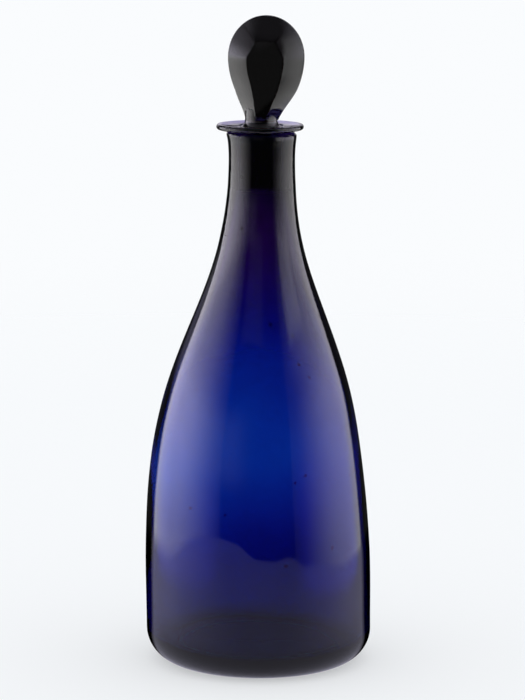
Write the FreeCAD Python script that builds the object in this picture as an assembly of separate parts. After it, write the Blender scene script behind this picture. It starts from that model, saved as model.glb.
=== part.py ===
import FreeCAD, Part
import os
from math import cos, radians, sin, tan

os.makedirs("parts", exist_ok=True)

# Blown glass decanter with a ground-in, bevelled stopper. Millimetres, +Z up, standing on z = 0.

V = FreeCAD.Vector
UP = V(0, 0, 1)

# Vessel, outside: a height above the table and a radius at each turn of the blown outline
corner_radius = 14.8
wall_foot_radius = 51.9
belly_height = 38.0
belly_radius = 52.0
flank_height = 88.0
flank_radius = 49.3
shoulder_height = 130.0
shoulder_radius = 41.3
slope_height = 160.0
slope_radius = 30.6
neck_foot_height = 192.0
neck_foot_radius = 19.6
waist_height = 229.0
waist_radius = 15.1
collar_height = 244.4
collar_radius = 15.9

# Vessel, glass thickness: thin where it was blown out, heavy in the neck and the base
floor_thickness = 6.0
inner_corner_radius = 14.0
belly_wall = 3.1
flank_wall = 1.9
shoulder_wall = 2.35
slope_wall = 3.5
neck_foot_wall = 4.9

# Base: the worn ring that it stands on, the push-up inside it and the polished pontil hollow
foot_ring_width = 2.4
kick_depth = 2.6
pontil_radius = 11.0
pontil_depth = 0.7

# Lip
lip_radius = 20.4
lip_edge_thickness = 2.2
lip_flare_height = 1.8
lip_dish = 0.6
mouth_round = 0.8

# Ground seat in the neck with the throat that opens below it, and the peg that fits the seat
seat_mouth_radius = 10.0
seat_half_angle = 2.2
seat_length = 29.0
throat_length = 7.8
throat_radius = 10.5
seat_clearance = 0.12
peg_length = 28.0
peg_top_drop = 0.7
peg_end_chamfer = 0.7

# Stopper head, heights above the mouth: pear outline, a flat facet on both faces, bevels from facet to rim
head_top = 49.7
head_widest = 30.9
head_half_width = 17.3
head_flare = 12.0
head_flare_half_width = 12.1
head_foot = 2.6
head_foot_half_width = 7.4
head_thickness = 14.6
head_rim_thickness = 2.0
facet_half_width = 8.4
facet_top = 38.6
facet_corner_height = 38.2
facet_corner_half_width = 4.5
facet_flare_half_width = 4.5
facet_foot_half_width = 2.0
crown_corner_angle = 52.0
head_lean = 2.15
head_lean_height = 16.0
neck_rise = 5.0

lip_height = collar_height + lip_flare_height + lip_edge_thickness
mouth_height = lip_height - lip_dish


def segment(*points):
    """A straight run through the points, as a list of edges."""
    return [Part.makeLine(a, b) for a, b in zip(points, points[1:])]


def arc(a, middle, b):
    """A circular arc through three points."""
    return Part.Arc(a, middle, b).toShape()


def spline(points, start, end):
    """A smooth curve through the points with the given end directions."""
    curve = Part.BSplineCurve()
    curve.interpolate(Points=points, InitialTangent=start, FinalTangent=end)
    return curve.toShape()


def rz(radius, height):
    """A point of a turned outline."""
    return V(radius, 0, height)


def quarter(center_r, center_z, radius, up):
    """Quarter round between the point below a centre and the point beside it, run upwards or downwards."""
    k = 0.5 ** 0.5
    a = rz(center_r, center_z - radius)
    m = rz(center_r + k * radius, center_z - k * radius)
    b = rz(center_r + radius, center_z)
    return arc(a, m, b) if up else arc(b, m, a)


def turned(edges):
    """A solid turned about Z from a closed outline."""
    face = Part.Face(Part.Wire(Part.__sortEdges__(edges)))
    return face.revolve(V(0, 0, 0), UP, 360)


def seat_radius(height):
    """Radius of the ground bore at a height."""
    return seat_mouth_radius - (mouth_height - height) * tan(radians(seat_half_angle))


def decanter_body():
    """The vessel: one turned outline with its own inner and outer curves."""
    ring_outer = wall_foot_radius - corner_radius
    ring_inner = ring_outer - foot_ring_width
    outer = [
        rz(wall_foot_radius, corner_radius),
        rz(belly_radius, belly_height),
        rz(flank_radius, flank_height),
        rz(shoulder_radius, shoulder_height),
        rz(slope_radius, slope_height),
        rz(neck_foot_radius, neck_foot_height),
        rz(waist_radius, waist_height),
        rz(collar_radius, collar_height),
    ]
    seat_end = mouth_height - seat_length
    floor_z = kick_depth + floor_thickness
    inner_foot = belly_radius - belly_wall
    inner = [
        rz(inner_foot, floor_z + inner_corner_radius),
        rz(flank_radius - flank_wall, flank_height),
        rz(shoulder_radius - shoulder_wall, shoulder_height),
        rz(slope_radius - slope_wall, slope_height),
        rz(neck_foot_radius - neck_foot_wall, neck_foot_height),
        rz(throat_radius, seat_end - throat_length),
    ]
    seat_foot = rz(seat_radius(seat_end), seat_end)
    edge_r = lip_edge_thickness / 2
    edge_z = lip_height - edge_r
    lip_r = lip_radius - edge_r
    lip_root = rz(collar_radius, collar_height)
    lip_under = rz(lip_r, edge_z - edge_r)
    flare_mid = rz(collar_radius + 0.32 * (lip_r - collar_radius), collar_height + 0.7 * lip_flare_height)
    mouth_out = rz(seat_mouth_radius + mouth_round, mouth_height)
    mouth_in = rz(seat_radius(mouth_height - mouth_round), mouth_height - mouth_round)
    mouth_mid = rz(seat_mouth_radius + 0.3 * mouth_round, mouth_height - 0.3 * mouth_round)
    pontil_z = kick_depth * (1 - (pontil_radius / ring_inner) ** 2)
    pontil_top = pontil_z + pontil_depth
    pontil_mid = rz(pontil_radius / 2, pontil_z + 0.75 * pontil_depth)
    kick_mid = rz((pontil_radius + ring_inner) / 2, 0.55 * pontil_z)
    edges = [
        arc(rz(0, pontil_top), pontil_mid, rz(pontil_radius, pontil_z)),
        arc(rz(pontil_radius, pontil_z), kick_mid, rz(ring_inner, 0)),
        Part.makeLine(rz(ring_inner, 0), rz(ring_outer, 0)),
        quarter(ring_outer, corner_radius, corner_radius, True),
        spline(outer, UP, V(0.18, 0, 1)),
        arc(lip_root, flare_mid, lip_under),
        arc(lip_under, rz(lip_radius, edge_z), rz(lip_r, lip_height)),
        Part.makeLine(rz(lip_r, lip_height), mouth_out),
        arc(mouth_out, mouth_mid, mouth_in),
        *segment(mouth_in, seat_foot, inner[-1]),
        spline(inner[::-1], V(0.16, 0, -1), V(0, 0, -1)),
        quarter(inner_foot - inner_corner_radius, floor_z + inner_corner_radius, inner_corner_radius, False),
        Part.makeLine(rz(inner_foot - inner_corner_radius, floor_z), rz(0, floor_z)),
        Part.makeLine(rz(0, floor_z), rz(0, pontil_top)),
    ]
    return turned(edges)


def head_point(x, y, height):
    """A point of the head at a height above the mouth; the head leans a little to one side."""
    lean = head_lean * min(height / head_lean_height, 1)
    return V(x + lean, y, mouth_height + height)


def flank(side, y, half_widths):
    """One side of a pear outline, from the foot through the flare to the widest place."""
    heights = (head_foot, head_flare, head_widest)
    points = [head_point(side * half, y, height) for half, height in zip(half_widths, heights)]
    return spline(points, V(side * 0.3, 0, 1), UP)


def round_crown(side, y):
    """Half of the rim's elliptic crown, from the widest place to the top, broken at the bevel's corner."""
    rise = head_top - head_widest

    def at(angle):
        t = radians(angle)
        return head_point(side * head_half_width * cos(t), y, head_widest + rise * sin(t))

    def along(angle):
        t = radians(angle)
        return V(-side * head_half_width * sin(t), 0, rise * cos(t))

    low = [at(0), at(crown_corner_angle / 2), at(crown_corner_angle)]
    high = [at(crown_corner_angle), at((crown_corner_angle + 90) / 2), at(90)]
    return [spline(low, along(0), along(crown_corner_angle)), spline(high, along(crown_corner_angle), along(90))]


def cut_crown(side, y):
    """Half of the facet's crown: a slanting edge and half of the top edge."""
    low = head_point(side * facet_half_width, y, head_widest)
    corner = head_point(side * facet_corner_half_width, y, facet_corner_height)
    return segment(low, corner, head_point(0, y, facet_top))


def pear(y, half_widths, crown):
    """Closed pear outline in the plane at y: foot, then flank and crown of each side."""
    foot_half = half_widths[0]
    edges = segment(head_point(-foot_half, y, head_foot), head_point(foot_half, y, head_foot))
    for side in (1, -1):
        edges += [flank(side, y, half_widths), *crown(side, y)]
    return edges


def stopper_head():
    """The bevelled head: ruled bevels between the rim outline and the facet outline of each face."""
    rim_y = head_rim_thickness / 2
    face_y = head_thickness / 2
    rim = (head_foot_half_width, head_flare_half_width, head_half_width)
    facet = (facet_foot_half_width, facet_flare_half_width, facet_half_width)
    outlines = [
        pear(-face_y, facet, cut_crown),
        pear(-rim_y, rim, round_crown),
        pear(rim_y, rim, round_crown),
        pear(face_y, facet, cut_crown),
    ]
    faces = [Part.Face(Part.Wire(Part.__sortEdges__(outlines[k]))) for k in (0, -1)]
    for low, high in zip(outlines, outlines[1:]):
        faces += [Part.makeRuledSurface(a, b) for a, b in zip(low, high)]
    shell = Part.Shell(faces)
    shell.sewShape()
    head = Part.Solid(shell)
    if head.Volume < 0:
        head.reverse()
    return head


def stopper():
    """Head, round neck and ground peg fused to one piece."""
    top_z = mouth_height - peg_top_drop
    end_z = mouth_height - peg_length
    top_r = seat_radius(top_z) - seat_clearance
    end_r = seat_radius(end_z) - seat_clearance
    neck_r = head_thickness / 2
    neck_z = mouth_height + head_foot
    neck_top = neck_z + neck_rise
    edges = segment(
        rz(neck_r, neck_z),
        rz(neck_r, neck_top),
        rz(0, neck_top + neck_r / 2),
        rz(0, end_z),
        rz(end_r - peg_end_chamfer, end_z),
        rz(end_r, end_z + peg_end_chamfer),
        rz(top_r, top_z),
    )
    bend = rz(neck_r + 0.25 * (top_r - neck_r), top_z + 0.4 * (neck_z - top_z))
    edges.append(arc(rz(top_r, top_z), bend, rz(neck_r, neck_z)))
    return turned(edges).fuse(stopper_head()).removeSplitter()


for name, make in (("decanter_body", decanter_body), ("stopper", stopper)):
    shape = make()
    solid = shape.Solids[0]
    print(name, len(shape.Solids), "solid, valid", solid.isValid(), "volume", round(solid.Volume))
    solid.exportStep("parts/" + name + ".step")
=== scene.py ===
"""Looks of a free-blown dark blue glass decanter with its bevelled stopper."""

from __future__ import annotations

import logging
import math
from dataclasses import dataclass
from enum import Enum
from typing import Any, Sequence, Union

import bmesh
import bpy
import numpy as np
from mathutils import Euler, Matrix, Vector, noise

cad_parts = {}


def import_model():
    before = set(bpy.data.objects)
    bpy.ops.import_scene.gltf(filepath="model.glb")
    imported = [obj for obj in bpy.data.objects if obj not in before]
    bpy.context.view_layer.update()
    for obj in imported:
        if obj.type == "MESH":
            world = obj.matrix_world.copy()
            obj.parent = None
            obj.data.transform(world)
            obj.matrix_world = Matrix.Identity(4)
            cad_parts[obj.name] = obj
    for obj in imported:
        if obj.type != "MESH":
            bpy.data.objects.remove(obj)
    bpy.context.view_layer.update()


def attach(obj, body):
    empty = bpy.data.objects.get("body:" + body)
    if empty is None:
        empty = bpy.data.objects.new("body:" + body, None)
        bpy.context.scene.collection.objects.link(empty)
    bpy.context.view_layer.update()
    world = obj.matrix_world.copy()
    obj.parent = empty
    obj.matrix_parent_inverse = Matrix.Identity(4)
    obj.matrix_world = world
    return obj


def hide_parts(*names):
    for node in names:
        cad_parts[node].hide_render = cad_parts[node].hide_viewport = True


LOG = logging.getLogger("decanter")
MM = 0.001
DIAGONAL = math.sqrt(0.5)

# Shared by the ground bore of the vessel and the stopper's peg, in millimetres and degrees
MOUTH = 247.8
SEAT_RADIUS = 10.0
SEAT_ANGLE = 2.2

# Edges of the flat stage pieces that turn by more than this, in degrees, stay crisp
STAGE_ANGLE = 30.0

Point = tuple[float, float]
Colour = tuple[float, float, float]
Bend = tuple[float, float, float]

BLACK: Colour = (0.0, 0.0, 0.0)
BLUE: Colour = (0.0, 0.0, 1.0)
WHITE: Colour = (1.0, 1.0, 1.0)


class Face(Enum):
    """The two flat faces of the stopper's head."""

    FRONT = -1
    BACK = 1


class Sock:
    """A shader value whose arithmetic adds Math nodes."""

    def __init__(self, graph: "Graph", socket: bpy.types.NodeSocket) -> None:
        """Wraps one output socket of a graph."""
        self.graph = graph
        self.socket = socket

    def math(self, operation: str, *others: Any) -> "Sock":
        """Adds one Math node, whose further inputs are sockets or numbers."""
        inputs = dict(enumerate((self, *others)))
        return self.graph.node("ShaderNodeMath", {"operation": operation}, inputs).out()

    def __add__(self, other: Any) -> "Sock":
        """Sum."""
        return self.math("ADD", other)

    __radd__ = __add__

    def __sub__(self, other: Any) -> "Sock":
        """Difference."""
        return self.math("SUBTRACT", other)

    def __rsub__(self, other: Any) -> "Sock":
        """Difference from a number."""
        return self.graph.node("ShaderNodeMath", {"operation": "SUBTRACT"}, {0: other, 1: self}).out()

    def __mul__(self, other: Any) -> "Sock":
        """Product."""
        return self.math("MULTIPLY", other)

    __rmul__ = __mul__

    def __pow__(self, other: Any) -> "Sock":
        """Power."""
        return self.math("POWER", other)

    def __gt__(self, other: Any) -> "Sock":
        """One where greater, else zero."""
        return self.math("GREATER_THAN", other)

    def __lt__(self, other: Any) -> "Sock":
        """One where less, else zero."""
        return self.math("LESS_THAN", other)

    def step(self, low: float, high: float) -> "Sock":
        """A smooth rise.

        Args:
            low: Value where the rise starts.
            high: Value where it ends.

        Returns:
            A mask that goes from 0 to 1.
        """
        settings = {"interpolation_type": "SMOOTHSTEP", "clamp": True}
        sockets = {"Value": self, "From Min": low, "From Max": high, "To Min": 0.0, "To Max": 1.0}
        return self.graph.node("ShaderNodeMapRange", settings, sockets).out("Result")

    def sweep(self, low: float, high: float) -> "Sock":
        """A smooth rise from 0 to 1 between two angles, in degrees."""
        return self.step(math.radians(low), math.radians(high))

    def band(self, rise: Point, fall: Point) -> "Sock":
        """A smooth rise from 0 to 1 and a later fall, each from its start to its end."""
        return self.step(*rise) * (1 - self.step(*fall))


class Made:
    """A node that was just added, with its outputs at hand."""

    def __init__(self, graph: "Graph", node: bpy.types.Node) -> None:
        """Wraps one node of a graph."""
        self.graph = graph
        self.raw = node

    def out(self, name: Union[str, int] = 0) -> Sock:
        """One of the node's outputs, by name or index."""
        return Sock(self.graph, self.raw.outputs[name])


class Graph:
    """A node tree of a material or the world, filled by one method."""

    def __init__(self, owner: Union[bpy.types.Material, bpy.types.World]) -> None:
        """Clears the owner's nodes and starts afresh.

        Args:
            owner: The material or the world.
        """
        owner.use_nodes = True
        self.tree = owner.node_tree
        self.tree.nodes.clear()

    def node(
        self,
        kind: str,
        settings: dict[str, Any] | None = None,
        sockets: dict[Union[str, int], Any] | None = None,
    ) -> Made:
        """Adds one node.

        Args:
            kind: The node's type.
            settings: Attributes that are set first; "stops" fills a ramp.
            sockets: Values or links of its inputs, by name or index.

        Returns:
            The node.
        """
        made = self.tree.nodes.new(kind)
        for name, value in (settings or {}).items():
            if name == "stops":
                self.stops(made.color_ramp, value)
            else:
                setattr(made, name, value)
        for name, value in (sockets or {}).items():
            if isinstance(value, Sock):
                self.tree.links.new(value.socket, made.inputs[name])
            else:
                made.inputs[name].default_value = value
        return Made(self, made)

    @staticmethod
    def stops(ramp: bpy.types.ColorRamp, stops: Sequence[tuple[float, Sequence[float]]]) -> None:
        """Fills a colour ramp.

        Args:
            ramp: The ramp.
            stops: Pairs of a place from 0 to 1 and a colour.
        """
        while len(ramp.elements) < len(stops):
            ramp.elements.new(1.0)
        for element, (place, colour) in zip(ramp.elements, stops):
            element.position = place
            element.color = (*colour, 1.0)

    def blend(self, factor: Sock, low: Any, high: Any) -> Sock:
        """Mixes two colours.

        Args:
            factor: How much of the second colour is taken.
            low: First colour, as three numbers or a socket.
            high: Second colour, likewise.

        Returns:
            The mixed colour.
        """
        first, second = (value if isinstance(value, Sock) else (*value, 1.0) for value in (low, high))
        sockets = {"Factor": factor, "A": first, "B": second}
        return self.node("ShaderNodeMix", {"data_type": "RGBA"}, sockets).out("Result")

    def cloud(self, vector: Sock, scale: float, detail: float) -> Sock:
        """Smooth noise over a surface, round about a half."""
        sockets = {"Vector": vector, "Scale": scale, "Detail": detail}
        return self.node("ShaderNodeTexNoise", {}, sockets).out("Fac")

    def output(self, kind: str, sockets: dict[str, Sock]) -> None:
        """Adds the output node with what feeds it."""
        self.node(kind, {}, sockets)

    def mirrored(self) -> Sock:
        """One for rays that a surface mirrored, else zero."""
        path = self.node("ShaderNodeLightPath")
        return path.out("Is Glossy Ray") * (1 - path.out("Is Transmission Ray"))

    def place(self) -> tuple[Sock, Sock, Sock, Sock]:
        """Object coordinates, as the whole vector and its three numbers.

        Returns:
            The vector, then X, Y and Z.
        """
        vector = self.node("ShaderNodeTexCoord").out("Object")
        parts = self.node("ShaderNodeSeparateXYZ", {}, {"Vector": vector})
        return vector, parts.out("X"), parts.out("Y"), parts.out("Z")


def curve_through(points: Sequence[Point], start: Point, end: Point, count: int) -> list[Point]:
    """Samples the smooth curve through some points.

    Args:
        points: The points it goes through.
        start: Its direction at the first point.
        end: Its direction at the last point.
        count: How many samples are taken.

    Returns:
        The samples, from the first point to the last.
    """
    p = np.array(points, float)
    h = np.hypot(*np.diff(p, axis=0).T)
    n = len(p)
    rows = np.zeros((n, n))
    right = np.zeros((n, 2))
    rows[0, 0] = rows[-1, -1] = 1.0
    right[0] = np.array(start) / np.hypot(*start)
    right[-1] = np.array(end) / np.hypot(*end)
    for i in range(1, n - 1):
        rows[i, i - 1], rows[i, i], rows[i, i + 1] = h[i], 2 * (h[i - 1] + h[i]), h[i - 1]
        right[i] = 3 * (h[i] / h[i - 1] * (p[i] - p[i - 1]) + h[i - 1] / h[i] * (p[i + 1] - p[i]))
    slopes = np.linalg.solve(rows, right)
    knots = np.concatenate(([0.0], np.cumsum(h)))
    samples = []
    for t in np.linspace(0, knots[-1], count):
        i = min(int(np.searchsorted(knots, t, side="right")) - 1, n - 2)
        u = (t - knots[i]) / h[i]
        a, b = (1 + 2 * u) * (1 - u) ** 2, u * u * (3 - 2 * u)
        c, d = u * (1 - u) ** 2, u * u * (u - 1)
        q = a * p[i] + b * p[i + 1] + h[i] * (c * slopes[i] + d * slopes[i + 1])
        samples.append((float(q[0]), float(q[1])))
    return samples


def arc_through(a: Point, middle: Point, b: Point, count: int) -> list[Point]:
    """Samples the circular arc through three points.

    Args:
        a: First point.
        middle: A point between.
        b: Last point.
        count: How many samples are taken.

    Returns:
        The samples, from a to b.
    """
    za, zm, zb = complex(*a), complex(*middle), complex(*b)
    w = (zb - za) / (zm - za)
    centre = (zm - za) * (w - abs(w) ** 2) / (2j * w.imag) + za
    start, end, through = (math.atan2((z - centre).imag, (z - centre).real) for z in (za, zb, zm))
    sweep = (end - start) % math.tau
    if (through - start) % math.tau > sweep:
        sweep -= math.tau
    radius = abs(za - centre)
    angles = (start + sweep * k / (count - 1) for k in range(count))
    return [(centre.real + radius * math.cos(t), centre.imag + radius * math.sin(t)) for t in angles]


def line_through(a: Point, b: Point, count: int) -> list[Point]:
    """Samples a straight run.

    Args:
        a: First point.
        b: Last point.
        count: How many samples are taken.

    Returns:
        The samples, from a to b.
    """
    steps = count - 1
    return [(a[0] + (b[0] - a[0]) * k / steps, a[1] + (b[1] - a[1]) * k / steps) for k in range(count)]


def joined(*runs: Sequence[Point]) -> list[Point]:
    """Strings runs together, dropping each point that repeats the one before.

    Args:
        runs: The runs, in order.

    Returns:
        One line.
    """
    line: list[Point] = []
    for point in (p for run in runs for p in run):
        if not line or math.dist(line[-1], point) > 1e-6:
            line.append(point)
    return line


def straight_rise(value: float, low: float, high: float) -> float:
    """A straight rise, held between 0 and 1.

    Args:
        value: The value.
        low: Value that gives 0.
        high: Value that gives 1, which may be the lesser.

    Returns:
        The share.
    """
    return min(1.0, max(0.0, (value - low) / (high - low)))


def turn(line: Sequence[Point], steps: int) -> bmesh.types.BMesh:
    """Spins an outline that starts and ends on the axis into a closed shell.

    Args:
        line: Radius and height of each point, in millimetres.
        steps: Number of steps round.

    Returns:
        The shell, with its faces pointing outwards.
    """
    bm = bmesh.new()
    verts = [bm.verts.new((r * MM, 0.0, z * MM)) for r, z in line]
    edges = [bm.edges.new(pair) for pair in zip(verts, verts[1:])]
    bmesh.ops.spin(
        bm,
        geom=verts + edges,
        axis=(0, 0, 1),
        cent=(0, 0, 0),
        dvec=(0, 0, 0),
        angle=math.tau,
        steps=steps,
        use_merge=True,
        use_duplicate=False,
    )
    bmesh.ops.remove_doubles(bm, verts=bm.verts[:], dist=1e-7)
    bmesh.ops.recalc_face_normals(bm, faces=bm.faces[:])
    return bm


def to_object(bm: bmesh.types.BMesh, name: str, sharp_angle: float) -> bpy.types.Object:
    """Turns a bmesh into an object at the origin.

    Args:
        bm: The mesh, which is freed.
        name: The object's name.
        sharp_angle: Edges that turn by more than this, in degrees, stay crisp.

    Returns:
        The object.
    """
    mesh = bpy.data.meshes.new(name)
    bm.to_mesh(mesh)
    bm.free()
    mesh.polygons.foreach_set("use_smooth", [True] * len(mesh.polygons))
    mesh.set_sharp_from_angle(angle=math.radians(sharp_angle))
    obj = bpy.data.objects.new(name, mesh)
    bpy.context.scene.collection.objects.link(obj)
    return obj


@dataclass(frozen=True)
class BlueGlass:
    """Cobalt glass: what it takes out of light for each metre, and how its surfaces are finished.

    Lengths are in metres. A pair says where a smooth change starts and ends.
    """

    name: str
    absorb: Colour = (470.0, 985.0, 335.0)
    ior: float = 1.51
    warm_heights: Point = (0.135, 0.21)
    warm_power: float = 1.6
    coldest: float = 0.07
    lip_heights: Point = (0.232, 0.246)
    lip_cooling: float = 0.7
    seed_cells: float = 70.0
    seed_size: float = 0.07
    seed_chance: float = 0.4
    seed_depth: float = 0.8
    polished: float = 0.02
    smear_scale: float = 38.0
    ground: float = 0.42
    ground_low: float = 0.0
    ground_high: float = 0.0
    ground_inside: float = 1.0
    ground_edge: float = 0.0004
    worn_ring: Point = (0.0, 0.0)
    worn_edge: float = 0.001
    worn_height: float = 0.0006
    worn_rough: float = 0.25
    grain_scale: float = 900.0
    grain_cut: float = 0.45

    def roughness(self, graph: Graph) -> Sock:
        """Polished skin with smears, the ground seat and the worn standing ring.

        Args:
            graph: The material's node tree.

        Returns:
            The roughness.
        """
        vector, x, y, z = graph.place()
        radius = (x * x + y * y) ** 0.5
        low, high = self.ground_low, self.ground_high
        in_seat = z.band((low - self.ground_edge, low), (high, high + self.ground_edge))
        seat = in_seat * (radius < self.ground_inside)
        grain = graph.cloud(vector, self.grain_scale, 2.0)
        inner, outer = self.worn_ring
        ring = radius.band((inner, inner + self.worn_edge), (outer - self.worn_edge, outer))
        worn = ring * (z < self.worn_height) * (grain > self.grain_cut)
        smear = graph.cloud(vector, self.smear_scale, 3.0)
        skin = self.polished * (0.5 + smear)
        return skin + seat * (self.ground - self.polished) + worn * self.worn_rough

    def tint(self, graph: Graph) -> Sock:
        """Colder glass below, warmer in the neck, with dark seeds.

        Args:
            graph: The material's node tree.

        Returns:
            The colour.
        """
        vector, _, _, z = graph.place()
        cooling = 1 - z.step(*self.lip_heights) * self.lip_cooling
        warm = z.step(*self.warm_heights) ** self.warm_power * cooling
        warmth = self.coldest + warm * (1 - self.coldest)
        cells = graph.node("ShaderNodeTexVoronoi", {}, {"Vector": vector, "Scale": self.seed_cells})
        chance = graph.node("ShaderNodeSeparateColor", {}, {0: cells.out("Color")}).out(0)
        seeds = (cells.out("Distance") < self.seed_size) * (chance > self.seed_chance)
        clear = 1 - seeds * self.seed_depth
        return graph.node("ShaderNodeCombineColor", {}, {0: warmth * clear, 1: clear, 2: clear}).out()

    def make(self) -> bpy.types.Material:
        """Builds the material.

        Returns:
            The material.
        """
        material = bpy.data.materials.new(self.name)
        graph = Graph(material)
        sockets = {
            "Base Color": self.tint(graph),
            "Roughness": self.roughness(graph),
            "IOR": self.ior,
            "Transmission Weight": 1.0,
        }
        shader = graph.node("ShaderNodeBsdfPrincipled", {}, sockets)
        density = max(self.absorb)
        colour = (*(1 - a / density for a in self.absorb), 1.0)
        volume = graph.node("ShaderNodeVolumeAbsorption", {}, {"Color": colour, "Density": density})
        graph.output("ShaderNodeOutputMaterial", {"Surface": shader.out(), "Volume": volume.out()})
        return material


@dataclass
class Vessel:
    """The blown vessel: its outline in millimetres, and the small wander of hand-made glass."""

    name: str = "decanter_glass"
    corner: float = 14.8
    corner_steps: int = 22
    foot_radius: float = 51.9
    ring_width: float = 2.4
    kick: float = 2.6
    kick_share: float = 0.55
    pontil_radius: float = 11.0
    pontil_depth: float = 0.7
    pontil_share: float = 0.75
    floor: float = 6.5
    inner_corner: float = 6.0
    inner_foot: float = 48.1
    outline: tuple[Point, ...] = (
        (51.9, 14.8),
        (52.0, 38.0),
        (49.3, 88.0),
        (41.3, 130.0),
        (30.6, 160.0),
        (19.6, 192.0),
        (15.1, 229.0),
        (15.9, 243.4),
    )
    collar_run: Point = (0.18, 1.0)
    side_steps: int = 110
    hollow: tuple[Point, ...] = ((47.4, 88.0), (38.95, 130.0), (27.1, 160.0), (14.7, 192.0), (10.5, 211.0))
    throat_run: Point = (0.16, -1.0)
    hollow_steps: int = 84
    groove: Point = (13.3, 245.0)
    brow_share: Point = (0.12, 0.45)
    flare_share: float = 0.38
    lip_top: float = 248.4
    lip_radius: float = 19.8
    lip_thickness: float = 2.5
    seat_length: float = 29.0
    mouth_round: float = 0.8
    round_share: float = 0.3
    ground_inside: float = 12.5
    worn_ring: Point = (33.5, 39.5)
    steps: int = 160
    sharp_angle: float = 50.0
    sway: float = -1.5
    sway_height: float = 95.0
    sway_reach: float = 52.0
    ripple_outside: float = 0.13
    ripple_inside: float = 0.30
    ripple_scales: Point = (24.0, 52.0)
    quick_share: float = 0.5
    ripple_rise: Point = (4.0, 20.0)
    ripple_fall: Point = (214.0, 200.0)
    inside_offset: tuple[float, float, float] = (7.3, 1.1, 4.2)
    hollow_shift: float = -0.25
    hollow_low_gain: float = 2.4
    hollow_low_height: float = 50.0
    lip_foot: float = 244.5
    lip_blend: Point = (243.0, 245.0)
    lip_radii: Point = (11.0, 17.0)
    lip_wobble: float = 0.16
    lip_wobble_scale: float = 110.0
    lip_offset: float = -0.5
    neck_offset: float = 0.4
    neck_blend: Point = (200.0, 220.0)

    def bore(self, z: float) -> float:
        """Radius of the ground bore at a height."""
        return SEAT_RADIUS - (MOUTH - z) * math.tan(math.radians(SEAT_ANGLE))

    def base_line(self) -> list[Point]:
        """The underside, from the axis out to the standing ring and round the corner.

        Returns:
            The line.
        """
        ring_outer = self.foot_radius - self.corner
        ring_inner = ring_outer - self.ring_width
        rim = self.kick * (1 - (self.pontil_radius / ring_inner) ** 2)
        top = rim + self.pontil_depth
        pontil_edge = (self.pontil_radius, rim)
        pontil_mid = (self.pontil_radius / 2, rim + self.pontil_share * self.pontil_depth)
        kick_mid = ((self.pontil_radius + ring_inner) / 2, self.kick_share * rim)
        reach = DIAGONAL * self.corner
        corner_mid = (ring_outer + reach, self.corner - reach)
        corner_top = (self.foot_radius, self.corner)
        return joined(
            arc_through((0, top), pontil_mid, pontil_edge, 8),
            arc_through(pontil_edge, kick_mid, (ring_inner, 0), 12),
            line_through((ring_inner, 0), (ring_outer, 0), 4),
            arc_through((ring_outer, 0), corner_mid, corner_top, self.corner_steps),
        )

    def lip_line(self) -> list[Point]:
        """The turned-out lip, from the collar over the edge to the mouth and the foot of the ground bore.

        Returns:
            The line.
        """
        collar_r, collar_z = self.outline[-1]
        edge = self.lip_thickness / 2
        lip_r = self.lip_radius - edge
        under = self.lip_top - self.lip_thickness
        groove_r, groove_z = self.groove
        brow_in, brow_up = self.brow_share
        brow = (collar_r - brow_in * (collar_r - groove_r), collar_z + brow_up * (groove_z - collar_z))
        flare = ((groove_r + lip_r) / 2, groove_z + self.flare_share * (under - groove_z))
        mouth_out = (SEAT_RADIUS + self.mouth_round, MOUTH)
        mouth_in = (self.bore(MOUTH - self.mouth_round), MOUTH - self.mouth_round)
        small = self.round_share * self.mouth_round
        mouth_mid = (SEAT_RADIUS + small, MOUTH - small)
        seat_end = MOUTH - self.seat_length
        return joined(
            arc_through((collar_r, collar_z), brow, (groove_r, groove_z), 9),
            arc_through((groove_r, groove_z), flare, (lip_r, under), 12),
            arc_through((lip_r, under), (self.lip_radius, self.lip_top - edge), (lip_r, self.lip_top), 10),
            line_through((lip_r, self.lip_top), mouth_out, 8),
            arc_through(mouth_out, mouth_mid, mouth_in, 6),
            line_through(mouth_in, (self.bore(seat_end), seat_end), 16),
        )

    def hollow_line(self) -> list[Point]:
        """The inside, from the foot of the bore down to the middle of the floor.

        Returns:
            The line.
        """
        seat_end = MOUTH - self.seat_length
        floor_z = self.kick + self.floor
        corner_z = floor_z + self.inner_corner
        side = [*self.hollow[::-1], (self.inner_foot, corner_z)]
        flat = self.inner_foot - self.inner_corner
        reach = DIAGONAL * self.inner_corner
        return joined(
            line_through((self.bore(seat_end), seat_end), self.hollow[-1], 6),
            curve_through(side, self.throat_run, (0, -1), self.hollow_steps),
            arc_through((self.inner_foot, corner_z), (flat + reach, corner_z - reach), (flat, floor_z), 14),
            line_through((flat, floor_z), (0, floor_z), 14),
        )

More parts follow.
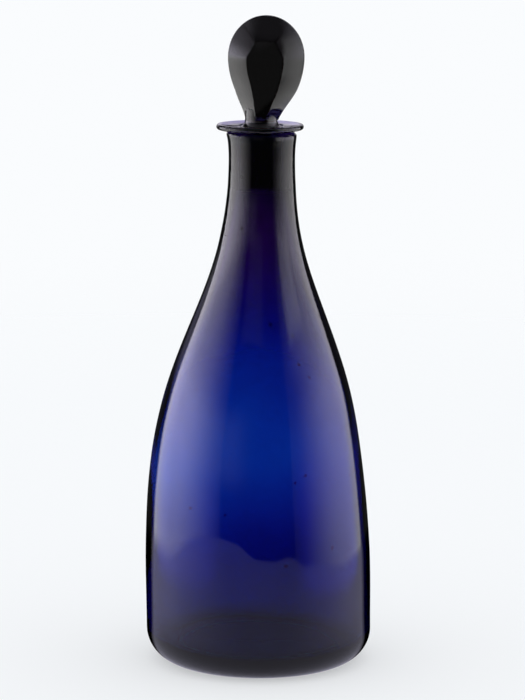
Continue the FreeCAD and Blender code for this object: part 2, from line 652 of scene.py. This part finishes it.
    def wander(self, bm: bmesh.types.BMesh) -> None:
        """Moves the spun shell by the slow ripples and the sway that a blown vessel has.

        Args:
            bm: The shell.
        """
        middles: dict[float, float] = {}
        for vert in bm.verts:
            x, y, z = vert.co
            radius = math.hypot(x, y)
            height = z / MM
            key = round(height, 4)
            if key not in middles:
                middles[key] = self.middle_radius(height)
            inside = radius < middles[key] * MM
            calm = straight_rise(height, *self.ripple_rise) * straight_rise(height, *self.ripple_fall)
            amount = (self.ripple_inside if inside else self.ripple_outside) * calm
            offset = Vector(self.inside_offset if inside else (0.0, 0.0, 0.0))
            slow, quick = (noise.noise(vert.co * scale + offset) for scale in self.ripple_scales)
            if radius > 1e-6:
                push = amount * MM * (slow + self.quick_share * quick) / radius
                vert.co.x += x * push
                vert.co.y += y * push
            if inside:
                low = max(0.0, self.hollow_low_gain - height / self.hollow_low_height)
                vert.co.x += self.hollow_shift * (1 + low) * calm * MM
            rim = straight_rise(radius / MM, *self.lip_radii)
            if height > self.lip_foot:
                place = Vector((x, y, 0.0)) * self.lip_wobble_scale
                vert.co.z += self.lip_wobble * rim * MM * noise.noise(place)
            in_lip = straight_rise(height, *self.lip_blend)
            in_neck = 0.0 if inside else straight_rise(height, *self.neck_blend) * (1 - in_lip)
            vert.co.x += (self.neck_offset * in_neck + self.lip_offset * in_lip * rim) * MM
            away = (height - self.sway_height) / self.sway_reach
            vert.co.x += self.sway * MM * math.exp(-(away**2))

    def middle_radius(self, height: float) -> float:
        """Radius half-way through the wall, which tells the inside from the outside.

        Args:
            height: Height above the table.

        Returns:
            The radius.
        """
        outside = self.base_line()[-self.corner_steps :] + self.side_line()
        outer, inner = (
            np.interp(height, [z for _, z in line], [r for r, _ in line])
            for line in (outside, self.hollow_line()[::-1])
        )
        return float(outer + inner) / 2

    def side_line(self) -> list[Point]:
        """The outside, from the base's corner up to the collar."""
        return curve_through(self.outline, (0, 1), self.collar_run, self.side_steps)

    def build(self) -> bpy.types.Object:
        """Makes the vessel as one closed shell with its own inner and outer walls.

        Returns:
            The object.
        """
        line = joined(self.base_line(), self.side_line(), self.lip_line(), self.hollow_line())
        bm = turn(line, self.steps)
        self.wander(bm)
        return to_object(bm, self.name, self.sharp_angle)

    def dress(self, obj: bpy.types.Object) -> None:
        """Gives the vessel its glass and its place in the frame.

        Args:
            obj: The vessel.
        """
        worn_inner, worn_outer = self.worn_ring
        finish = BlueGlass(
            "vessel_glass_blue",
            ground_low=(MOUTH - self.seat_length) * MM,
            ground_high=(MOUTH - self.mouth_round) * MM,
            ground_inside=self.ground_inside * MM,
            worn_ring=(worn_inner * MM, worn_outer * MM),
        )
        obj.data.materials.append(finish.make())
        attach(obj, "decanter")
        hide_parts("decanter_body")


@dataclass
class Stopper:
    """The stopper: bevelled pear-shaped head, round neck and ground peg, in millimetres above the mouth."""

    name: str = "stopper_glass"
    top: float = 49.7
    widest: float = 30.9
    half_width: float = 17.3
    flare: float = 12.0
    flare_half: float = 12.1
    foot: float = 2.6
    foot_half: float = 7.4
    foot_run: Point = (0.3, 1.0)
    flank_steps: int = 26
    thickness: float = 14.6
    rim: float = 2.0
    facet_half: float = 8.4
    facet_top: float = 38.6
    facet_flare_half: float = 4.5
    facet_foot_half: float = 2.0
    facet_corner: Point = (4.5, 38.2)
    crown_corner: int = 17
    crown_steps: int = 30
    lean: float = 2.15
    lean_height: float = 16.0
    neck_rise: float = 5.0
    peg_length: float = 28.0
    peg_drop: float = 0.7
    peg_chamfer: float = 0.7
    bend_share: Point = (0.25, 0.4)
    clearance: float = 0.12
    edge_round: float = 0.3
    steps: int = 128
    sharp_angle: float = 28.0

    def round_crown(self) -> list[Point]:
        """Half of the rim's elliptic crown, from beyond the widest place to the top.

        Returns:
            The line.
        """
        angles = (math.pi / 2 * k / self.crown_steps for k in range(1, self.crown_steps + 1))
        rise = self.top - self.widest
        return [(self.half_width * math.cos(t), self.widest + rise * math.sin(t)) for t in angles]

    def cut_crown(self) -> list[Point]:
        """Half of the facet's crown: a slanting edge and half of the top edge, step for step with the rim.

        Returns:
            The line.
        """
        start, end = (self.facet_half, self.widest), (0.0, self.facet_top)
        slant = line_through(start, self.facet_corner, self.crown_corner + 1)
        level = line_through(self.facet_corner, end, self.crown_steps - self.crown_corner + 1)
        return slant[1:] + level[1:]

    def pear(self, halves: tuple[float, float, float], crown: Sequence[Point]) -> list[Point]:
        """Pear outline of the head, as a closed loop without its last point.

        Args:
            halves: Half widths at the foot, the flare and the widest place.
            crown: The right half of the crown, up to its top.

        Returns:
            Points from the foot up the right side and down the left.
        """
        foot, flare, wide = halves
        turns = [(foot, self.foot), (flare, self.flare), (wide, self.widest)]
        flank = curve_through(turns, self.foot_run, (0, 1), self.flank_steps)
        right = [*flank, *crown]
        loop = right + [(-x, z) for x, z in reversed(right[:-1])]
        return [(x + self.lean * min(z / self.lean_height, 1.0), z + MOUTH) for x, z in loop]

    def head(self) -> bmesh.types.BMesh:
        """The bevelled head as a closed shell with broken edges.

        Returns:
            The shell.
        """
        rim = self.pear((self.foot_half, self.flare_half, self.half_width), self.round_crown())
        facet_halves = (self.facet_foot_half, self.facet_flare_half, self.facet_half)
        facet = self.pear(facet_halves, self.cut_crown())
        bm = bmesh.new()
        rings: list[list[bmesh.types.BMEdge]] = []
        for face in (Face.FRONT, Face.BACK):
            for outline, depth in ((facet, self.thickness / 2), (rim, self.rim / 2)):
                verts = [bm.verts.new((x * MM, face.value * depth * MM, z * MM)) for x, z in outline]
                rings.append([bm.edges.new(pair) for pair in zip(verts, verts[1:] + verts[:1])])
        front_facet, front_rim, back_facet, back_rim = rings
        for low, high in ((front_facet, front_rim), (front_rim, back_rim), (back_rim, back_facet)):
            bmesh.ops.bridge_loops(bm, edges=low + high)
        for ring in (front_facet, back_facet):
            bmesh.ops.contextual_create(bm, geom=ring)
        bmesh.ops.recalc_face_normals(bm, faces=bm.faces[:])
        crisp = [edge for ring in rings for edge in ring if edge.is_valid]
        bmesh.ops.bevel(
            bm,
            geom=crisp,
            offset=self.edge_round * MM,
            offset_type="OFFSET",
            affect="EDGES",
            segments=2,
            profile=0.5,
            material=-1,
        )
        return bm

    def peg(self) -> bmesh.types.BMesh:
        """The ground peg and the round neck above it.

        Returns:
            The shell.
        """
        slope = math.tan(math.radians(SEAT_ANGLE))
        top_z, end_z = MOUTH - self.peg_drop, MOUTH - self.peg_length
        top_r = SEAT_RADIUS - self.peg_drop * slope - self.clearance
        end_r = SEAT_RADIUS - self.peg_length * slope - self.clearance
        neck_r, neck_z = self.thickness / 2, MOUTH + self.foot
        neck_top = neck_z + self.neck_rise
        bend_in, bend_up = self.bend_share
        bend = (neck_r + bend_in * (top_r - neck_r), top_z + bend_up * (neck_z - top_z))
        line = joined(
            line_through((0, end_z), (end_r - self.peg_chamfer, end_z), 5),
            line_through((end_r - self.peg_chamfer, end_z), (end_r, end_z + self.peg_chamfer), 3),
            line_through((end_r, end_z + self.peg_chamfer), (top_r, top_z), 16),
            arc_through((top_r, top_z), bend, (neck_r, neck_z), 10),
            line_through((neck_r, neck_z), (neck_r, neck_top), 6),
            line_through((neck_r, neck_top), (0, neck_top + neck_r / 2), 4),
        )
        return turn(line, self.steps)

    def build(self) -> bpy.types.Object:
        """Joins head and peg into one piece of glass.

        Returns:
            The object.
        """
        obj = to_object(self.peg(), self.name, self.sharp_angle)
        head = to_object(self.head(), self.name + "_head", self.sharp_angle)
        union = obj.modifiers.new("union", "BOOLEAN")
        union.operation = "UNION"
        union.solver = "EXACT"
        union.object = head
        bpy.context.view_layer.update()
        united = obj.evaluated_get(bpy.context.evaluated_depsgraph_get())
        mesh = bpy.data.meshes.new_from_object(united)
        obj.modifiers.clear()
        obj.data = mesh
        mesh.name = self.name
        mesh.set_sharp_from_angle(angle=math.radians(self.sharp_angle))
        bpy.data.objects.remove(head)
        return obj

    def dress(self, obj: bpy.types.Object) -> None:
        """Gives the stopper its glass and its place in the frame.

        Args:
            obj: The stopper.
        """
        finish = BlueGlass(
            "stopper_glass_blue",
            ior=1.6,
            absorb=(2200.0, 2100.0, 1450.0),
            ground_low=(MOUTH - self.peg_length + self.peg_chamfer) * MM,
            ground_high=(MOUTH - self.peg_drop) * MM,
        )
        obj.data.materials.append(finish.make())
        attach(obj, "stopper")
        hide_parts("stopper")


def facing(azimuth: float, x: Sock, y: Sock) -> tuple[Sock, Sock]:
    """Turns a pair of numbers so that they run across and away from the camera's side of the table.

    Args:
        azimuth: The camera's side of the table, in degrees.
        x: Place or direction along X.
        y: Place or direction along Y.

    Returns:
        The part across and the part away.
    """
    c, k = math.cos(math.radians(azimuth)), math.sin(math.radians(azimuth))
    return x * c + y * k, y * c - x * k


@dataclass(frozen=True)
class Card:
    """A card beside the object that only reflections see: it glows, or shades what lies behind it.

    Lengths are in metres, and the bearing is in degrees from the camera's side.
    """

    bearing: float
    half_width: float
    foot: float
    top: float
    foot_fade: float
    glow: float = 0.0
    shade: float = 0.0
    hue: Colour = WHITE
    distance: float = 0.16
    top_fade: float = 0.08
    even_share: float = 0.55

    def stand(self, azimuth: float) -> None:
        """Stands the card in the scene.

        Args:
            azimuth: The camera's side of the table, in degrees.
        """
        turn_z = math.radians(azimuth + self.bearing)
        c, k = math.cos(turn_z), math.sin(turn_z)
        tall = (self.top - self.foot) / 2.0
        spot = (k * self.distance, -c * self.distance, self.foot + tall)
        upright = Matrix.Rotation(turn_z, 4, "Z") @ Matrix.Rotation(math.radians(90.0), 4, "X")
        frame = Matrix.Translation(spot) @ upright @ Matrix.Diagonal((self.half_width, tall, 1.0, 1.0))
        bm = bmesh.new()
        bmesh.ops.create_grid(bm, x_segments=1, y_segments=1, size=1.0, matrix=frame)
        card = to_object(bm, "side_card", STAGE_ANGLE)
        material = bpy.data.materials.new("card_face")
        graph = Graph(material)
        _, x, y, z = graph.place()
        along = (x * c + y * k).math("ABSOLUTE")
        ends = 1 - along.step(self.half_width * self.even_share, self.half_width)
        upper = (self.top - self.top_fade, self.top)
        soft = graph.mirrored() * ends * z.band((self.foot, self.foot + self.foot_fade), upper)
        colour = graph.blend(soft, BLACK, self.hue)
        glow = graph.node("ShaderNodeEmission", {}, {"Color": colour, "Strength": self.glow})
        dark = graph.node("ShaderNodeEmission", {}, {"Strength": 0.0})
        clear = graph.node("ShaderNodeBsdfTransparent")
        dimmed = {0: soft * self.shade, 1: clear.out(), 2: dark.out()}
        shaded = graph.node("ShaderNodeMixShader", {}, dimmed)
        both = graph.node("ShaderNodeAddShader", {}, {0: shaded.out(), 1: glow.out()})
        graph.output("ShaderNodeOutputMaterial", {"Surface": both.out()})
        card.data.materials.append(material)


@dataclass(frozen=True)
class Table:
    """Pale table top: matte where it is seen, and a sheen with a bent edge where the glass mirrors it.

    Lengths are in metres and angles in degrees. A pair says where a smooth change starts and ends. A bend
    also says how much is added.
    """

    azimuth: float
    backdrop: Colour
    radius: float = 3.0
    sides: int = 96
    paint: Colour = (0.95, 0.96, 0.97)
    lift: float = 0.5
    fade: Point = (0.5, 1.4)
    edge_reach: float = 0.32
    edge_bends: tuple[Bend, ...] = (
        (-100.0, -32.0, 0.28),
        (-20.0, 0.0, -0.15),
        (16.0, 30.0, 0.045),
        (30.0, 48.0, -0.105),
        (50.0, 95.0, -0.055),
    )
    crisp_left: float = 20.0
    crisp_more: float = 15.0
    crisp_turn: Point = (-90.0, -50.0)
    body_offset: float = 0.046
    grazing_least: float = 0.25
    grazing: Point = (40.0, 84.0)
    left_power: float = 0.80
    left_fall: Point = (70.0, 150.0)
    right_power: float = 0.62
    right_fall: Point = (70.0, 145.0)
    right_delay: float = 2.0
    lit: Point = (37.0, 49.0)
    front_near: float = 0.44
    front_loss: float = 0.13
    front_reach: Point = (0.06, 0.5)
    side_least: float = 0.1
    side_bends: tuple[Bend, ...] = ((0.05, 0.16, 0.7), (0.15, 0.38, 0.38))
    pale_violet: Colour = (1.0, 0.97, 1.22)
    deep_violet: Colour = (1.0, 0.95, 1.5)
    violet_rise: Point = (40.0, 90.0)
    violet_fall: Point = (100.0, 140.0)
    violet_near: Point = (0.10, 0.17)
    violet_far: Point = (0.26, 0.34)
    strength: float = 2.0

    def mirrored_share(self, bearing: Sock, reach: Sock) -> Sock:
        """How much of the table the glass mirrors at a place, up to its bent edge.

        Args:
            bearing: Bearing of the place from the camera's side.
            reach: Its distance from the axis.

        Returns:
            The share.
        """
        edge: Any = self.edge_reach
        for start, end, change in self.edge_bends:
            edge = edge + change * bearing.sweep(start, end)
        crisp = self.crisp_left + self.crisp_more * bearing.sweep(*self.crisp_turn)
        return 1 - ((reach - edge) * crisp).step(-1, 1)

    def sheen(self, graph: Graph, across: Sock, away: Sock, reach: Sock) -> Made:
        """Light of the table as the glass mirrors it.

        Args:
            graph: The table's node tree.
            across: Place across the camera's view.
            away: Place away from the camera.
            reach: Distance from the axis.

        Returns:
            The emission.
        """
        right = across > 0.0
        heading = across.math("ABSOLUTE").math("ARCTAN2", away) - (reach**-1.0) * self.body_offset
        grazing = self.grazing_least + (1 - self.grazing_least) * heading.sweep(*self.grazing)
        left_lift = (1 - right) * (1 - heading.sweep(*self.left_fall)) * self.left_power
        right_lift = right * (1 - heading.sweep(*self.right_fall)) * self.right_power
        lit = (heading - right * math.radians(self.right_delay)).sweep(*self.lit)
        front = self.front_near - self.front_loss * reach.step(*self.front_reach)
        nearness: Any = self.side_least
        for start, end, change in self.side_bends:
            nearness = nearness + change * reach.step(start, end)
        bright = (front + (left_lift + right_lift) * grazing * nearness) * lit
        beside = right * heading.sweep(*self.violet_rise) * (1 - heading.sweep(*self.violet_fall))
        close = reach.band(self.violet_near, self.violet_far)
        violet = graph.blend(beside * close, self.pale_violet, self.deep_violet)
        colour = graph.blend(bright * (1 / self.strength), BLACK, violet)
        return graph.node("ShaderNodeEmission", {}, {"Color": colour, "Strength": self.strength})

    def lay(self) -> None:
        """Lays the table top, which fades into the bright field far from the object."""
        bm = bmesh.new()
        bmesh.ops.create_circle(bm, cap_ends=True, segments=self.sides, radius=self.radius)
        table = to_object(bm, "table_top", STAGE_ANGLE)
        material = bpy.data.materials.new("table_white")
        graph = Graph(material)
        _, x, y, _ = graph.place()
        across, away = facing(self.azimuth, x, y)
        reach = (x * x + y * y) ** 0.5
        mirrored = graph.mirrored()
        near = self.mirrored_share(across.math("ARCTAN2", 0.0 - away), reach)
        wide = 1 - reach.step(*self.fade)
        shown = mirrored * near + (1 - mirrored) * wide
        seen = graph.node("ShaderNodeLightPath").out("Is Camera Ray")
        matte = graph.node("ShaderNodeBsdfDiffuse", {}, {"Color": (*self.paint, 1.0)})
        lift = graph.node("ShaderNodeEmission", {}, {"Color": (*self.backdrop, 1.0)})
        lifted = {0: seen * self.lift, 1: matte.out(), 2: lift.out()}
        daylight = graph.node("ShaderNodeMixShader", {}, lifted)
        sheen = self.sheen(graph, across, away, reach)
        both = graph.node("ShaderNodeMixShader", {}, {0: mirrored, 1: daylight.out(), 2: sheen.out()})
        clear = graph.node("ShaderNodeBsdfTransparent")
        mixed = graph.node("ShaderNodeMixShader", {}, {0: shown, 1: clear.out(), 2: both.out()})
        graph.output("ShaderNodeOutputMaterial", {"Surface": mixed.out()})
        table.data.materials.append(material)


@dataclass(frozen=True)
class SidePanels:
    """Soft panels at the two sides that only reflections see.

    Angles are in degrees from straight behind the object. Heights are those of a direction of length one. A
    pair says where a smooth change starts and ends.
    """

    azimuth: float
    rise: Point = (43.0, 50.0)
    late_rise: float = 9.0
    late_heights: Point = (0.15, 0.4)
    left_power: float = 3.4
    left_fall: Point = (84.0, 145.0)
    right_power: float = 2.3
    right_fall: Point = (80.0, 138.0)
    strip_power: float = 0.14
    strip_fall: Point = (140.0, 142.5)
    rows: tuple[Point, ...] = (
        (0.20, 0.50),
        (0.31, 0.60),
        (0.37, 0.55),
        (0.425, 0.57),
        (0.49, 0.76),
        (0.54, 0.86),
        (0.60, 0.88),
        (0.68, 0.60),
        (0.78, 0.42),
        (0.93, 0.06),
    )
    behind_power: float = 0.6
    behind_fall: Point = (10.0, 30.0)
    behind_heights: Point = (0.05, 0.10)
    low_power: float = 0.55
    low_fall: Point = (118.0, 150.0)
    low_heights: Point = (-0.38, -0.24)
    high_power: float = 0.25
    high_fall: Point = (112.0, 150.0)
    high_heights: Point = (0.3, 0.45)
    faint_power: float = 0.2
    faint_fall: Point = (145.0, 178.0)
    faint_foot: Point = (-0.02, 0.08)
    faint_top: Point = (0.2, 0.35)
    above_power: float = 0.1
    above_heights: Point = (0.6, 0.8)
    ambient: float = 0.02

    def brightness(self, graph: Graph, x: Sock, y: Sock, z: Sock) -> Sock:
        """Brightness by direction.

        Args:
            graph: The world's node tree.
            x: Direction along X.
            y: Direction along Y.
            z: Direction upwards.

        Returns:
            The brightness.
        """
        across, away = facing(self.azimuth, x, y)
        around = across.math("ABSOLUTE").math("ARCTAN2", away)
        left = across < 0.0
        right = 1 - left
        late = z.step(*self.late_heights) * math.radians(self.late_rise)
        start = (around - late).sweep(*self.rise)
        left_bell = left * (1 - around.sweep(*self.left_fall)) * self.left_power
        right_bell = right * (1 - around.sweep(*self.right_fall)) * self.right_power
        strip = (1 - around.sweep(*self.strip_fall)) * self.strip_power
        stops = tuple((place, (level,) * 3) for place, level in self.rows)
        rows = graph.node("ShaderNodeValToRGB", {"stops": stops}, {"Fac": z * 0.5 + 0.5}).out("Color")
        bell = start * (left_bell + right_bell + strip) * rows
        behind = (1 - around.sweep(*self.behind_fall)) * z.step(*self.behind_heights) * self.behind_power
        low = right * (1 - around.sweep(*self.low_fall)) * (1 - z.step(*self.low_heights)) * self.low_power
        high = right * (1 - around.sweep(*self.high_fall)) * z.step(*self.high_heights) * self.high_power
        level = z.band(self.faint_foot, self.faint_top) * self.faint_power
        faint = left * (1 - around.sweep(*self.faint_fall)) * level
        above = z.step(*self.above_heights) * self.above_power
        return bell + behind + low + high + faint + above + self.ambient


@dataclass
class Studio:
    """Table, bright field behind, panels and cards that only reflections see, and the camera."""

    backdrop: Colour = (0.955, 0.972, 0.99)
    sky_low: Colour = (1.0, 0.985, 0.985)
    sky_high: Colour = (1.0, 0.955, 1.11)
    sky_heights: Point = (-0.15, 0.1)
    azimuth: float = 5.3
    distance: float = 1.497
    height: float = 0.401
    pitch: float = 9.723
    focal_px: float = 3315.0
    frame_px: float = 700.0
    sensor_mm: float = 36.0
    roll: float = 0.27
    shift_px: float = 2.4
    farthest: float = 50.0
    cards: tuple[Card, ...] = (
        Card(61.0, 0.055, 0.212, 0.40, 0.022, glow=0.75),
        Card(-77.0, 0.10, 0.272, 0.50, 0.065, shade=0.6),
        Card(-11.0, 0.06, 0.230, 0.38, 0.005, glow=0.065),
        Card(-74.0, 0.145, 0.005, 0.14, 0.02, glow=0.95, hue=BLUE),
        Card(74.0, 0.145, 0.005, 0.14, 0.02, glow=1.3, hue=BLUE),
    )

    def camera(self) -> None:
        """Sets the camera at the photograph's viewing angle."""
        data = bpy.data.cameras.new("camera")
        data.sensor_width = self.sensor_mm
        data.lens = self.focal_px * self.sensor_mm / self.frame_px
        data.clip_end = self.farthest
        camera = bpy.data.objects.new("camera", data)
        bpy.context.scene.collection.objects.link(camera)
        turn_z = math.radians(self.azimuth)
        yaw = math.atan(self.shift_px / self.focal_px)
        spot = (self.distance * math.sin(turn_z), -self.distance * math.cos(turn_z), self.height)
        camera.location = spot
        aim = Euler((math.radians(90.0 - self.pitch), 0.0, turn_z - yaw)).to_matrix()
        rolled = aim @ Matrix.Rotation(math.radians(self.roll), 3, "Z")
        camera.rotation_euler = rolled.to_euler()
        bpy.context.scene.camera = camera

    def world(self) -> None:
        """Bright field for what is seen directly or through glass, panels at the sides for reflections."""
        world = bpy.data.worlds.new("studio")
        bpy.context.scene.world = world
        graph = Graph(world)
        direction = graph.node("ShaderNodeTexCoord").out("Generated")
        parts = graph.node("ShaderNodeSeparateXYZ", {}, {"Vector": direction})
        x, y, z = (parts.out(name) for name in "XYZ")
        path = graph.node("ShaderNodeLightPath")
        bounced = path.out("Is Transmission Ray") * (path.out("Glossy Depth") > 0.5)
        mirrored = graph.mirrored().math("MAXIMUM", bounced)
        panels = SidePanels(self.azimuth).brightness(graph, x, y, z)
        strength = mirrored * panels + (1 - mirrored)
        sky = graph.blend(z.step(*self.sky_heights), self.sky_low, self.sky_high)
        tint = graph.blend(mirrored, self.backdrop, sky)
        light = graph.node("ShaderNodeBackground", {}, {"Color": tint, "Strength": strength})
        graph.output("ShaderNodeOutputWorld", {"Surface": light.out()})

    def build(self) -> None:
        """Sets up table, light, camera and how tones are shown."""
        Table(self.azimuth, self.backdrop).lay()
        for card in self.cards:
            card.stand(self.azimuth)
        self.world()
        self.camera()
        bpy.context.scene.view_settings.view_transform = "Standard"


def main() -> None:
    """Builds the decanter on its frame, then the studio round it."""
    logging.basicConfig(level=logging.INFO)
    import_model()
    for part in (Vessel(), Stopper()):
        obj = part.build()
        part.dress(obj)
        LOG.info("%s: %d faces", obj.name, len(obj.data.polygons))
    Studio().build()


if __name__ == "__main__":
    main()
